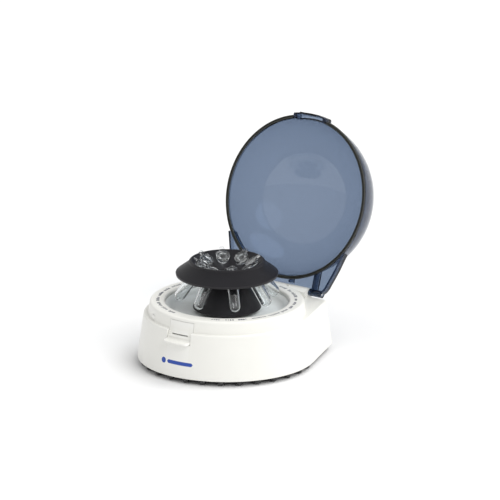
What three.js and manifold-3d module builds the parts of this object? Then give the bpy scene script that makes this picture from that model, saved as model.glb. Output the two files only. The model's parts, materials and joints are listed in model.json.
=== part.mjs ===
// Mini laboratory centrifuge: a white housing with a chamber, a black fixed-angle rotor for eight 2 mL
// tubes, and a smoky dome lid, shown open. Millimetres, +Z up. The latch is at the front, -Y, and the
// hinge at the back. The pieces are drawn round the rotor's axis, with the table at z = 0. The last
// lines move the whole model, so that its origin is the middle of the underside of its box.

import * as THREE from 'three';
import { mergeVertices } from 'three/addons/utils/BufferGeometryUtils.js';
import Module from 'manifold-3d';

const wasm = await Module();
wasm.setup();

// ---------------------------------------------------------------- driving dimensions

const GAP = 0.35; // clearance between neighbouring pieces
const ROUND = 60; // flats round the large turned pieces
const DOME_ROWS = 9; // rows of flats from the dome's rim to its crown
const WALL = 2.4; // wall of the white mouldings

// Housing: round in front, with sides that run in towards a flat back.
const FOOT_Z = 5.2; // lower edge of the white wall
const LEDGE_Z = 47.35; // shelf that the lid's rim rests on
const FOOT_R = 83.3;
const LEDGE_R = 77.3;
const FOOT_REAR = 88;
const LEDGE_REAR = 83.3;
const SIDE_ANGLE = 18; // how far the sides turn in, in degrees
const CORNER_R = 5;

// Raised ring round the chamber.
const RING_TOP_Z = 59.3;
const RING_FOOT_R = 73.2;
const RING_TOP_R = 71.9;
const BOWL_R = 57.4;
const BOWL_FLOOR_Z = 48.5;

// Lid and its hinge. The lid is drawn closed, then turned open about the hinge.
const HINGE_Y = 84.6;
const HINGE_Z = 51;
const OPEN_ANGLE = 109;
const RIM_Z = LEDGE_Z + 0.4;
const RIM_R = 77.3;
const DOME_R = 75.7;
const DOME_HEIGHT = 71.2;
const DOME_WALL = 1.6;
const BLOCK_HALF = 34.3;
const KNUCKLE_OUTER = 49;
const KNUCKLE_R = 3.3;
const PIN_R = 1.5;

// Latch tongue and lid switch.
const TONGUE_HALF = 13;
const TONGUE_ROOT_Z = 56;
const LIP_R = 85.2;
const LEVER_ANGLE = 33.4; // to the left of the front

// Rotor and tubes.
const TUBES = 8;
const TUBE_TILT = 36; // tube axis from the vertical
const TUBE_END_R = 44;
const TUBE_END_Z = 65.7;
const TUBE_R = 5.2;
const SPINDLE_R = 2.5;
const COLLAR_R = 7;

// ---------------------------------------------------------------- materials

const finish = (color, roughness, metalness = 0, extra = {}) =>
  new THREE.MeshStandardMaterial({ color, roughness, metalness, ...extra });

const white = finish(0xf1f0ea, 0.35);
const paleGrey = finish(0xe3e8e5, 0.4);
const black = finish(0x1c1c1e, 0.5);
const rotorBlack = finish(0x2b2b2d, 0.55);
const rubber = finish(0x151515, 0.9);
const smoke = finish(0x7485a1, 0.08, 0, { transparent: true, opacity: 0.45 });
const clear = finish(0xe8ecee, 0.15, 0, { transparent: true, opacity: 0.4 });
const steel = finish(0xb9bbbe, 0.3, 1);
const brass = finish(0xb59a5b, 0.35, 1);
const boardGreen = finish(0x1f6b3f, 0.6);
const leadRed = finish(0xa3211b, 0.6);

// ---------------------------------------------------------------- geometry helpers

const rad = THREE.MathUtils.degToRad;

// Points along an arc, in degrees, with both ends.
function arc(x, y, radius, from, to, steps) {
  return Array.from({ length: steps + 1 }, (_, i) => {
    const angle = rad(from + ((to - from) * i) / steps);
    return [x + radius * Math.cos(angle), y + radius * Math.sin(angle)];
  });
}

// A [radius, height] profile turned about Z.
function turned(profile, segments = ROUND) {
  const points = profile.map(([r, z]) => new THREE.Vector2(r, z));
  return new THREE.LatheGeometry(points, segments).rotateX(Math.PI / 2);
}

// A flat outline in X and Y, from one height to another.
function slab(outline, low, high) {
  const shape = new THREE.Shape(outline.map(([x, y]) => new THREE.Vector2(x, y)));
  return new THREE.ExtrudeGeometry(shape, { depth: high - low, bevelEnabled: false }).translate(0, 0, low);
}

// A section in Y and Z, carried along X.
function rail(section, left, right) {
  return slab(section, left, right).rotateX(Math.PI / 2).rotateZ(Math.PI / 2);
}

function block([x0, y0, z0], [x1, y1, z1]) {
  return new THREE.BoxGeometry(x1 - x0, y1 - y0, z1 - z0)
    .translate((x0 + x1) / 2, (y0 + y1) / 2, (z0 + z1) / 2);
}

// A round bar along Z.
function bar(radius, low, high, x = 0, y = 0, segments = 24) {
  return new THREE.CylinderGeometry(radius, radius, high - low, segments)
    .rotateX(Math.PI / 2)
    .translate(x, y, (low + high) / 2);
}

// A round bar along X on the hinge axis.
function hingeBar(radius, left, right, segments = 20) {
  return new THREE.CylinderGeometry(radius, radius, right - left, segments)
    .rotateZ(Math.PI / 2)
    .translate((left + right) / 2, HINGE_Y, HINGE_Z);
}

// A closed geometry as a solid that can be cut and joined.
function solid(geometry) {
  const bare = geometry.clone();
  bare.deleteAttribute('normal');
  bare.deleteAttribute('uv');
  const merged = mergeVertices(bare, 1e-4);
  const corner = (i) => new THREE.Vector3().fromBufferAttribute(merged.attributes.position, i);
  const faces = [];
  let volume = 0;
  for (let i = 0; i < merged.index.count; i += 3) {
    const face = [0, 1, 2].map((k) => merged.index.getX(i + k));
    if (new Set(face).size < 3) continue;
    faces.push(face);
    const [a, b, c] = face.map(corner);
    volume += a.dot(b.cross(c));
  }
  const outward = volume > 0 ? faces : faces.map(([a, b, c]) => [a, c, b]);
  return new wasm.Manifold(
    new wasm.Mesh({
      numProp: 3,
      vertProperties: Float32Array.from(merged.attributes.position.array),
      triVerts: Uint32Array.from(outward.flat()),
    }),
  );
}

const join = (...geometries) => geometries.map(solid).reduce((all, next) => all.add(next));

function piece(name, body, material) {
  const faces = body.getMesh();
  const geometry = new THREE.BufferGeometry();
  geometry.setAttribute('position', new THREE.BufferAttribute(Float32Array.from(faces.vertProperties), 3));
  geometry.setIndex(Array.from(faces.triVerts));
  geometry.computeVertexNormals();
  const mesh = new THREE.Mesh(geometry, material);
  mesh.name = name;
  return mesh;
}

const mirrored = (points) => [...points, ...points.map(([x, y]) => [-x, y]).reverse()];

// ---------------------------------------------------------------- housing

// Outline of the housing: front arc, straight sides, flat back with rounded corners.
function bodyOutline(radius, rear) {
  const side = rad(SIDE_ANGLE);
  const cornerY = rear - CORNER_R;
  const cornerX = (radius - CORNER_R - cornerY * Math.sin(side)) / Math.cos(side);
  return [
    ...arc(0, 0, radius, -180 - SIDE_ANGLE, SIDE_ANGLE, 45),
    ...arc(cornerX, cornerY, CORNER_R, SIDE_ANGLE, 90, 4),
    ...arc(-cornerX, cornerY, CORNER_R, 90, 180 - SIDE_ANGLE, 4),
  ];
}

// The housing's outline stacked through [height, front radius, back] levels.
function bodyLoft(levels) {
  const steps = levels.length - 1;
  const shape = new THREE.Shape(bodyOutline(FOOT_R, FOOT_REAR).map(([x, y]) => new THREE.Vector2(x, y)));
  const loft = new THREE.ExtrudeGeometry(shape, { depth: steps, steps, bevelEnabled: false });
  const point = loft.attributes.position;
  for (let i = 0; i < point.count; i += 1) {
    const [z, radius, rear] = levels[Math.round(point.getZ(i))];
    const y = point.getY(i);
    const scale = radius / FOOT_R;
    point.setXYZ(i, point.getX(i) * scale, y * (y < 0 ? scale : rear / FOOT_REAR), z);
  }
  return loft;
}

// Height, front radius and back of the sloping wall, moved in by an inset.
function wallLevel(z, inset) {
  const up = (z - FOOT_Z) / (LEDGE_Z - FOOT_Z);
  const radius = FOOT_R + (LEDGE_R - FOOT_R) * up - inset;
  const rear = FOOT_REAR + (LEDGE_REAR - FOOT_REAR) * up - inset;
  return [z, radius, rear];
}

const BOSSES = [-55.1, 55.1].map((x) => [x, -46.3]).concat([-47, 47].map((x) => [x, 73]));

// The lever's frame: X outwards through the ring's wall, at LEVER_ANGLE to the left of the front.
const atLever = (geometry) => geometry.rotateZ(rad(-90 - LEVER_ANGLE));

// Section of the block that holds the hinge pins, in Y and Z.
const hingeBlockSection = [
  [77, LEDGE_Z - 1],
  [77, HINGE_Z + 1.2],
  [80.6, HINGE_Z + 3.7],
  ...arc(HINGE_Y, HINGE_Z, 3.7, 90, 0, 6),
  [HINGE_Y + 3.7, 46],
  [LEDGE_REAR + 0.3, 36],
  [LEDGE_REAR - 1.5, 40],
];

const RIB_X = 12; // the lid's two middle ribs
const RIB_END = 79.4;
const RIB_SLOT_END = 81.5; // far enough back for the ribs to swing clear

function housingShell() {
  let shell = solid(bodyLoft([
    wallLevel(FOOT_Z, 0.4),
    wallLevel(FOOT_Z + 0.6, 0),
    wallLevel(LEDGE_Z - 1.3, 0),
    wallLevel(LEDGE_Z - 0.4, 0.35),
    wallLevel(LEDGE_Z, 1.1),
  ]));
  shell = shell.subtract(solid(bodyLoft([wallLevel(FOOT_Z - 2, WALL), wallLevel(LEDGE_Z - WALL, WALL)])));
  for (const [x, y] of BOSSES) shell = shell.add(solid(bar(4, 8, LEDGE_Z - 1, x, y, 12)));
  shell = shell.subtract(solid(bar(RING_FOOT_R - 2, LEDGE_Z - 6, LEDGE_Z + 2, 0, 0, ROUND)));
  const ring = turned([
    [RING_FOOT_R, LEDGE_Z - 1],
    [RING_TOP_R, RING_TOP_Z - 1.8],
    ...arc(RING_TOP_R - 1.8, RING_TOP_Z - 1.8, 1.8, 30, 90, 3),
    ...arc(BOWL_R + 2.2, RING_TOP_Z - 2.2, 2.2, 90, 180, 4),
    [BOWL_R, RING_TOP_Z - 3.2],
    [BOWL_R + 1.8, RING_TOP_Z - 3.2],
    [BOWL_R + 2.4, RING_TOP_Z - 2],
    [RING_TOP_R - 2.2, RING_TOP_Z - 2],
    [RING_FOOT_R - 2, LEDGE_Z - 1],
    [RING_FOOT_R, LEDGE_Z - 1],
  ]);
  shell = shell.add(solid(ring));
  const hingeBlock = solid(rail(hingeBlockSection, -BLOCK_HALF, BLOCK_HALF))
    .subtract(solid(bar(RIM_R + 0.7, LEDGE_Z - 0.2, RING_TOP_Z, 0, 0, ROUND)));
  shell = shell.add(hingeBlock);
  const cuts = [
    block([-TONGUE_HALF - GAP, -90, 36.6], [TONGUE_HALF + GAP, -68, TONGUE_ROOT_Z + GAP]),
    atLever(block([66, -2.65, LEDGE_Z + 0.1], [76, 2.65, 52.9])),
    hingeBar(PIN_R + GAP, -BLOCK_HALF - 1, -BLOCK_HALF + 10),
    hingeBar(PIN_R + GAP, BLOCK_HALF - 10, BLOCK_HALF + 1),
    block([INLET_X - 5, 78, INLET_Z - 6], [INLET_X + 5, 92, INLET_Z + 6]),
    block([SWITCH_X - 10.5, 78, SWITCH_Z - 6.9], [SWITCH_X + 10.5, 92, SWITCH_Z + 6.9]),
    ...BOSSES.map(([x, y]) => bar(1.3, 4, 24, x, y, 10)),
    ...[-RIB_X, RIB_X].map((x) => block([x - 1.6, 74, LEDGE_Z + 0.1], [x + 1.6, RIB_SLOT_END, 60])),
  ];
  for (const cut of cuts) shell = shell.subtract(solid(cut));
  return piece('housing_shell', shell, white);
}

// The bowl that the rotor turns in. Its lip sits just under the ring's inner edge.
function rotorChamber() {
  const lip = RING_TOP_Z - 3.2 - GAP;
  let bowl = solid(turned([
    [SPINDLE_R + 3.5, BOWL_FLOOR_Z - 2],
    [SPINDLE_R + 3.5, BOWL_FLOOR_Z + 1.2],
    [9, BOWL_FLOOR_Z + 1.2],
    [9.6, BOWL_FLOOR_Z],
    [46, BOWL_FLOOR_Z],
    ...arc(46, BOWL_FLOOR_Z + 9, 9, -72, -30, 3),
    [BOWL_R - 0.6, lip],
    [BOWL_R + 2.2, lip],
    [BOWL_R - 1.2, lip - 3],
    [51.5, BOWL_FLOOR_Z - 0.6],
    [47, BOWL_FLOOR_Z - 2],
    [SPINDLE_R + 3.5, BOWL_FLOOR_Z - 2],
  ], 48));
  for (const [x, y] of MOTOR_FIXINGS) bowl = bowl.subtract(solid(bar(1.7, 40, BOWL_FLOOR_Z - 0.6, x, y, 10)));
  return piece('rotor_chamber', bowl, paleGrey);
}

// The springy tongue in the front wall, with the lip that opens the lid.
function latchTongue() {
  const band = turned([
    [RING_TOP_R + 0.1, TONGUE_ROOT_Z],
    [RING_FOOT_R + 0.2, LEDGE_Z + 1.5],
    [76.2, 43],
    [77.4, 40.6],
    [LIP_R - 0.9, 39.5],
    [LIP_R, 38.9],
    [LIP_R - 0.5, 37.9],
    [LIP_R - 2.2, 37.3],
    [78.6, 37.6],
    [75.4, 38.2],
    [74.3, 42.6],
    [RING_FOOT_R - 1.8, LEDGE_Z + 1.5],
    [RING_TOP_R - 1.9, TONGUE_ROOT_Z],
    [RING_TOP_R + 0.1, TONGUE_ROOT_Z],
  ]);
  const plan = [
    [TONGUE_HALF, -60],
    [TONGUE_HALF, -80.5],
    ...arc(TONGUE_HALF - 4, -80.5, 4, 0, -60, 4),
    [TONGUE_HALF - 6, -LIP_R - 1],
  ];
  const tongue = solid(band)
    .intersect(solid(slab(mirrored(plan), 30, 60)))
    .subtract(solid(block([-9, -80, 43.6], [9, -60, 45])));
  return piece('latch_tongue', tongue, white);
}

// The lever in the ring's wall that the closed lid pushes on, and the switch that it works.
function lidSwitch() {
  const outline = [[66, -2.3], [72.6, -2.3], [73.4, -1.4], [73.4, 1.4], [72.6, 2.3], [66, 2.3]];
  const nose = slab(outline, 47.8, 52.5);
  const leg = block([66, -1.5, 44], [68, 1.5, 48]);
  const lever = join(atLever(nose), atLever(leg));
  const body = join(
    atLever(block([60.5, -3.2, 33], [70.3, 3.2, 43])),
    atLever(block([62, -0.5, 28], [62.6, 0.5, 33.2])),
    atLever(block([68, -0.5, 28], [68.6, 0.5, 33.2])),
  );
  return [piece('lid_switch_lever', lever, white), piece('lid_switch_body', body, black)];
}

// ---------------------------------------------------------------- base

const BUMP_STEP = 12.5; // degrees between the bumps under the front wall
const BUMP_R = 77.8;
const PAN_Z = 3.2;
const BOARD = { x: 30, y0: 46, y1: 72, z: 12 };
const FEET = [
  ['foot_front_left', -44, -38],
  ['foot_front_right', 44, -38],
  ['foot_rear_left', -42, 60],
  ['foot_rear_right', 42, 60],
];

function basePan() {
  const inside = WALL + GAP;
  let pan = solid(bodyLoft([wallLevel(PAN_Z, inside), wallLevel(PAN_Z + 2.6, inside)]));
  for (let i = -9; i < 9; i += 1) {
    const angle = rad(-90 + (i + 0.5) * BUMP_STEP);
    const bump = turned([[0, 0.7], [1.9, 1.0], [3.2, 2.2], [3.2, 4], [0, 4]], 6);
    pan = pan.add(solid(bump.translate(BUMP_R * Math.cos(angle), BUMP_R * Math.sin(angle), 0)));
  }
  const corners = [BOARD.x - 3, 3 - BOARD.x].flatMap((x) => [[x, BOARD.y0 + 3], [x, BOARD.y1 - 3]]);
  for (const [x, y] of corners) pan = pan.add(solid(bar(2.5, PAN_Z + 1, BOARD.z - GAP, x, y, 10)));
  for (const [, x, y] of FEET) pan = pan.subtract(solid(bar(7.4, 0, PAN_Z + 0.8, x, y, 20)));
  for (const [x, y] of BOSSES) pan = pan.subtract(solid(bar(1.7, 0, 9, x, y, 10)));
  return piece('base_pan', pan, black);
}

// Rubber feet set in the pan's recesses.
function feet() {
  const foot = [[0, 0], [6.2, 0], [7, 0.8], [7, PAN_Z + 0.5], [0, PAN_Z + 0.5]];
  return FEET.map(([name, x, y]) => piece(name, solid(turned(foot, 20).translate(x, y, 0)), rubber));
}

// Screws that stand on their heads, each with its head's radius, bottom and top, and its shank's
// radius and top.
function screws(name, places, [headR, headLow, headHigh], [shankR, shankTop]) {
  return places.map(([x, y], i) => {
    const head = bar(headR, headLow, headHigh, x, y, 10);
    const shank = bar(shankR, headHigh - 0.2, shankTop, x, y, 8);
    return piece(`${name}_${i + 1}`, join(head, shank), steel);
  });
}

// ---------------------------------------------------------------- drive

const MOTOR_R = 18;
const MOTOR_TOP = 42;
const FIXING_R = 22.5;
const MOTOR_FIXINGS = [90, 210, 330].map((a) => [FIXING_R * Math.cos(rad(a)), FIXING_R * Math.sin(rad(a))]);

function motor() {
  const can = solid(turned([
    [0, 11], [MOTOR_R, 11], [MOTOR_R, MOTOR_TOP - 2.4], [MOTOR_R - 1, MOTOR_TOP - 1.4], [6, MOTOR_TOP - 1.4],
    [6, MOTOR_TOP + 1], [SPINDLE_R + GAP, MOTOR_TOP + 1], [SPINDLE_R + GAP, 14], [0, 14],
  ], 20));
  const endCap = join(
    turned([[0, 8], [15.5, 8], [16.5, 9], [16.5, 11 - GAP], [0, 11 - GAP]], 20),
    block([-7, 9, 6.4], [-5, 13, 8.4]),
    block([5, 9, 6.4], [7, 13, 8.4]),
  );
  let plate = solid(turned([
    [6 + GAP, MOTOR_TOP - 1], [27, MOTOR_TOP - 1], [27, MOTOR_TOP + 0.6], [6 + GAP, MOTOR_TOP + 0.6],
    [6 + GAP, MOTOR_TOP - 1],
  ], 24));
  for (const [x, y] of MOTOR_FIXINGS) plate = plate.subtract(solid(bar(1.9, 38, 46, x, y, 10)));
  const low = MOTOR_TOP + 1;
  const high = BOWL_FLOOR_Z - 2.4;
  const ring = [[1.9, low], [4.2, low], [4.2, high], [1.9, high]];
  const dampers = MOTOR_FIXINGS.map(([x, y], i) => {
    const damper = turned([...ring, ring[0]], 14).translate(x, y, 0);
    return piece(`motor_damper_${i + 1}`, solid(damper), rubber);
  });
  return [
    piece('motor_can', can, steel),
    piece('motor_end_cap', endCap, black),
    piece('motor_plate', plate, steel),
    ...dampers,
    ...screws('motor_screw', MOTOR_FIXINGS, [2.7, MOTOR_TOP - 3.2, MOTOR_TOP - 1.4], [1.4, BOWL_FLOOR_Z - 1]),
  ];
}

function drive() {
  const spindle = bar(SPINDLE_R, 14.5, 74.5, 0, 0, 20);
  const inner = SPINDLE_R + 0.35;
  const collar = turned([
    [inner, 52.5], [COLLAR_R, 52.5], [COLLAR_R, 72], [COLLAR_R - 1.5, 75.8], [0, 75.8],
    [0, 75], [inner, 75], [inner, 52.5],
  ], 24);
  return [piece('spindle', solid(spindle), steel), piece('drive_collar', solid(collar), brass)];
}

// ---------------------------------------------------------------- electrics

const INLET_X = 24;
const INLET_Z = 24;
const SWITCH_X = -22;
const SWITCH_Z = 24;
const ROCKER_Y = 84.2; // pivot of the rocker, just inside the back wall

function electrics() {
  const { x, y0, y1, z } = BOARD;
  const board = solid(block([-x, y0, z], [x, y1, z + 1.6]));
  const capacitor = turned([[0, z + 2], [5, z + 2], [5, z + 14], [4.4, z + 14.6], [0, z + 14.6]], 18);
  const fins = [0, 1, 2, 3].map((i) => block([-22 + i * 3.2, 50, z + 5], [-20.8 + i * 3.2, 62, z + 16]));
  const regulator = join(block([-22, 50, z + 2], [-11.2, 62, z + 5.2]), ...fins);
  const jack = join(
    block([INLET_X - 4.6, 73, INLET_Z - 5.6], [INLET_X + 4.6, 86.1, INLET_Z + 5.6]),
  ).subtract(
    solid(new THREE.CylinderGeometry(3.4, 3.4, 10, 20).translate(INLET_X, 82, INLET_Z)),
  ).add(
    solid(new THREE.CylinderGeometry(1, 1, 10, 10).translate(INLET_X, 80.5, INLET_Z)),
  );
  return [
    piece('control_board', board, boardGreen),
    piece('board_capacitor', solid(capacitor.translate(8, 56, 0)), black),
    piece('regulator_heat_sink', regulator, steel),
    piece('dc_inlet', jack, black),
    motorLead('motor_lead_red', -6, leadRed),
    motorLead('motor_lead_black', 6, black),
    ...powerSwitch(),
  ];
}

// An insulated wire from the board's front edge down to a motor terminal.
function motorLead(name, x, material) {
  const route = new THREE.CatmullRomCurve3([
    new THREE.Vector3(x, 13.6, 6.85),
    new THREE.Vector3(x, 20, 6.85),
    new THREE.Vector3(x * 1.3, 32, 8),
    new THREE.Vector3(x * 1.3, 41, 11.5),
    new THREE.Vector3(x, 45.4, 12.8),
  ]);
  const section = new THREE.Shape(arc(0, 0, 0.8, 0, 300, 5).map(([u, v]) => new THREE.Vector2(u, v)));
  return piece(name, solid(new THREE.ExtrudeGeometry(section, { steps: 12, extrudePath: route })), material);
}

// Rocker switch in the back wall; the rocker turns about an upright pivot.
function powerSwitch() {
  const frame = solid(block([SWITCH_X - 10.1, 74, SWITCH_Z - 6.5], [SWITCH_X + 10.1, 86.4, SWITCH_Z + 6.5]))
    .subtract(solid(block([SWITCH_X - 8.6, 78, SWITCH_Z - 5.2], [SWITCH_X + 8.6, 88, SWITCH_Z + 5.2])));
  const outline = [[-7.8, -1.6], [7.8, -1.6], [8, 1.2], [0.8, 1.6], [-0.8, 1.6], [-8, 1.2]];
  const rocker = slab(outline, SWITCH_Z - 4.8, SWITCH_Z + 4.8);
  const placed = rocker.translate(0, 0, -SWITCH_Z).rotateZ(rad(8)).translate(SWITCH_X, ROCKER_Y, SWITCH_Z);
  return [piece('power_switch_frame', frame, black), piece('power_switch_rocker', solid(placed), black)];
}

// ---------------------------------------------------------------- rotor and tubes

// Distance along a tube's axis from its round end to the seat in the rotor's dish.
const SEAT = 31.9;

// Puts a shape that stands on +Z, with its origin at the tube's round end, into the rotor's hole number i,
// counted from the front.
function atTube(geometry, i) {
  return geometry
    .rotateX(rad(-TUBE_TILT))
    .translate(0, -TUBE_END_R, TUBE_END_Z)
    .rotateZ(rad((i * 360) / TUBES));
}

const tubeNumbers = Array.from({ length: TUBES }, (_, i) => i);

function rotor() {
  let body = solid(turned([
    [0, 77.2], [COLLAR_R + 0.4, 77.2], [COLLAR_R + 0.4, 53.5], [10, 53.5], [10, 77], [16.6, 76],
    [29.6, 52.1], [31.7, 52.1], [31.7, 53.2], [20.3, 74], [18.6, 77.2],
    [22, 79.3], [37.6, 90.4], [45.2, 84.9], [46.3, 83.4], [47.2, 83.4],
    [47.7, 83.9], [47.7, 85.6], [47, 86.5], [35.4, 95.2], [35.4, 96.2],
    [34.7, 97.4], [33.8, 97.8], [32.9, 97.4], [31.6, 96.2], [12.4, 82.2],
    [11, 81.6], [7.2, 81.6], [6.4, 85.4], [0, 86],
  ], 40));
  for (const i of tubeNumbers) {
    body = body.subtract(solid(atTube(bar(TUBE_R + 0.5, 12, 48, 0, 0, 16), i)));
  }
  return piece('rotor', body, rotorBlack);
}

// A 2 mL tube with its snap cap. The plug is a loose fit, so the inside stays open to the air.
function tube(i) {
  const inner = TUBE_R - 0.95;
  const mouth = SEAT + 2.8;
  const cup = turned([
    ...arc(0, 0, TUBE_R, -90, 0, 3),
    [TUBE_R + 0.1, SEAT + 0.85],
    [6.4, SEAT + 0.85],
    [6.4, SEAT + 1.8],
    [TUBE_R + 0.1, SEAT + 1.9],
    [TUBE_R + 0.1, mouth],
    [inner, mouth],
    ...arc(0, 0, inner, 0, -90, 2),
  ], 10);
  const cap = turned([
    [0, mouth - 2.6], [inner - 0.35, mouth - 2.6], [inner - 0.35, mouth + 0.35], [6.5, mouth + 0.35],
    [6.5, mouth + 1.7], [6, mouth + 2.1], [0, mouth + 2.1],
  ], 10);
  const tab = block([-2.4, -9.8, mouth + 0.9], [2.4, -5.5, mouth + 2]);
  const strap = block([-1.8, 5.8, SEAT + 0.9], [1.8, 7.5, mouth + 1.6]);
  const shape = [cup, cap, tab, strap].map((part) => atTube(part, i));
  return piece(`tube_${i + 1}`, join(...shape), clear);
}

// ---------------------------------------------------------------- lid

// Height of the dome's outer face, at a share of the way from rim to crown.
function domeArc(inset, from, to, steps) {
  return arc(0, 0, 1, from, to, steps).map(([x, y]) => [
    (DOME_R - inset) * x,
    LEDGE_Z + (DOME_HEIGHT - inset) * y,
  ]);
}

// The web between the arms passes over the hinge block. The arms' own webs lie lower, level with
// the knuckles.
const MIDDLE_LOW = HINGE_Z + 4.2;
const MIDDLE_HIGH = HINGE_Z + 5.6;
const ARM_LOW = RIM_Z + 5.3;
const ARM_HIGH = RIM_Z + 6.7;
const INNER_RIB = [37.8, 40.6]; // sides of the rib between the middle web and an arm's

// Middle line of the right arm's outer rib, from the rim back to the knuckle.
const armLine = [[65, 43.5], [59.9, 59.6], [54.3, 74], [51.2, 80.6], [48.5, 83.4]];

// An upright rib along a line between two places.
function rib([x0, y0], [x1, y1], low, high) {
  const length = Math.hypot(x1 - x0, y1 - y0);
  return block([0, -1, low], [length, 1, high]).rotateZ(Math.atan2(y1 - y0, x1 - x0)).translate(x0, y0, 0);
}

// One arm: its web, the ribs along its sides and the knuckle that turns on the pin.
function hingeArm(side) {
  const line = armLine.map(([x, y]) => [x * side, y]);
  const [inner, outer] = INNER_RIB;
  const across = (a, b) => [a * side, b * side].sort((p, q) => p - q);
  const [ribLeft, ribRight] = across(inner, outer);
  const [left, right] = across(BLOCK_HALF + 0.6, KNUCKLE_OUTER);
  const outline = [...line, [line.at(-1)[0], HINGE_Y], [inner * side, HINGE_Y], [inner * side, 43.5]];
  let arm = solid(slab(outline, ARM_LOW, ARM_HIGH))
    .add(solid(block([ribLeft, 62, RIM_Z + 0.1], [ribRight, HINGE_Y, MIDDLE_HIGH])))
    .add(solid(rib([RIB_X * side, 74], [RIB_X * side, RIB_END], RIM_Z, MIDDLE_HIGH)))
    .add(solid(hingeBar(KNUCKLE_R, left, right)));
  for (let i = 1; i < line.length; i += 1) {
    arm = arm.add(solid(rib(line[i - 1], line[i], RIM_Z, ARM_HIGH)));
    if (i > 1) arm = arm.add(solid(bar(1, RIM_Z, ARM_HIGH, ...line[i - 1], 12)));
  }
  return arm.subtract(solid(hingeBar(PIN_R + GAP, left - 1, right + 1)));
}

function hingeArms() {
  const edge = INNER_RIB[1] - 0.2;
  const web = block([-edge, 60, MIDDLE_LOW], [edge, HINGE_Y - 0.6, MIDDLE_HIGH]);
  return solid(web)
    .add(hingeArm(-1))
    .add(hingeArm(1))
    .subtract(solid(block([-BLOCK_HALF - 0.4, HINGE_Y - 4.2, 40], [BLOCK_HALF + 0.4, 95, MIDDLE_LOW])));
}

function lidPieces() {
  const seal = solid(turned([
    [74.5, RIM_Z], [RIM_R, RIM_Z], [RIM_R, RIM_Z + 1.5], [74.5, RIM_Z + 1.5], [74.5, RIM_Z],
  ])).subtract(solid(block([-18.9, -90, 40], [18.9, -60, 60])));

  const flangeLow = RIM_Z + 1.5 + GAP;
  const dome = solid(turned([
    [RIM_R, flangeLow],
    [RIM_R, flangeLow + 1.6],
    ...domeArc(0, 5, 90, DOME_ROWS),
    ...domeArc(DOME_WALL, 90, 2, DOME_ROWS),
    [DOME_R - DOME_WALL, flangeLow],
    [RIM_R, flangeLow],
  ]));
  const hollow = solid(turned([
    [0, 30], [RIM_R + GAP, 30], [RIM_R + GAP, flangeLow], [DOME_R - DOME_WALL, flangeLow],
    ...domeArc(DOME_WALL, 2, 90, DOME_ROWS),
  ]));
  const grip = solid(turned([
    [74, RIM_Z], [79, RIM_Z], [79.4, RIM_Z + 0.5], [79.4, RIM_Z + 7], [78, RIM_Z + 9.5], [74, RIM_Z + 9.5],
    [74, RIM_Z],
  ])).intersect(solid(block([-18.5, -90, 40], [18.5, -60, 70])));
  const hook = join(
    block([-9, -79.1, 43.2], [9, -77.5, RIM_Z + 0.5]),
    block([-9, -77.6, 43.2], [9, -77, 44.4]),
  );
  const pocket = turned([
    [60, 40], [76.8, 40], [76.8, RIM_Z + 7], [75, RIM_Z + 9], [60, RIM_Z + 9], [60, 40],
  ]);
  const tonguePocket = solid(pocket).intersect(solid(block([-14.4, -90, 30], [14.4, -60, 70])));
  const lid = dome
    .add(hingeArms().subtract(hollow))
    .add(grip.subtract(hollow.intersect(solid(bar(74.6, 20, 90, 0, 0, ROUND)))))
    .subtract(tonguePocket)
    .add(hook);
  return [piece('lid_dome', lid, smoke), piece('lid_rim_seal', seal, rubber)];
}

function openLid() {
  const hinge = new THREE.Group();
  hinge.position.set(0, HINGE_Y, HINGE_Z);
  hinge.rotation.x = rad(-OPEN_ANGLE);
  for (const part of lidPieces()) {
    part.position.set(0, -HINGE_Y, -HINGE_Z);
    hinge.add(part);
  }
  return hinge;
}

function hingePins() {
  const from = BLOCK_HALF - 9.4;
  const to = KNUCKLE_OUTER - 0.6;
  return [
    piece('hinge_pin_left', solid(hingeBar(PIN_R, -to, -from, 12)), steel),
    piece('hinge_pin_right', solid(hingeBar(PIN_R, from, to, 12)), steel),
  ];
}

// ---------------------------------------------------------------- assembly

const model = new THREE.Group();
model.add(
  housingShell(),
  rotorChamber(),
  latchTongue(),
  ...lidSwitch(),
  basePan(),
  ...feet(),
  ...screws('case_screw', BOSSES, [3, PAN_Z - 1.6, PAN_Z - GAP], [1.1, 20]),
  ...motor(),
  ...drive(),
  ...electrics(),
  ...hingePins(),
  rotor(),
  ...tubeNumbers.map(tube),
  openLid(),
);

const bounds = new THREE.Box3().setFromObject(model, true);
const middle = bounds.getCenter(new THREE.Vector3());
model.position.set(-middle.x, -middle.y, -bounds.min.z);

const centrifuge = new THREE.Group();
centrifuge.add(model);
export default centrifuge;
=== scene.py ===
"""Mini laboratory centrifuge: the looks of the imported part.

Shapes are drawn in millimetres round the rotor's axis, with the table at z = 0, -Y to the front and +Y to the
hinge. solid() puts them in the part's own frame, in metres. The lid is drawn closed and then turned open.
"""

import json
import math
import random

import bmesh
import bpy
from mathutils import Matrix, Vector


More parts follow.
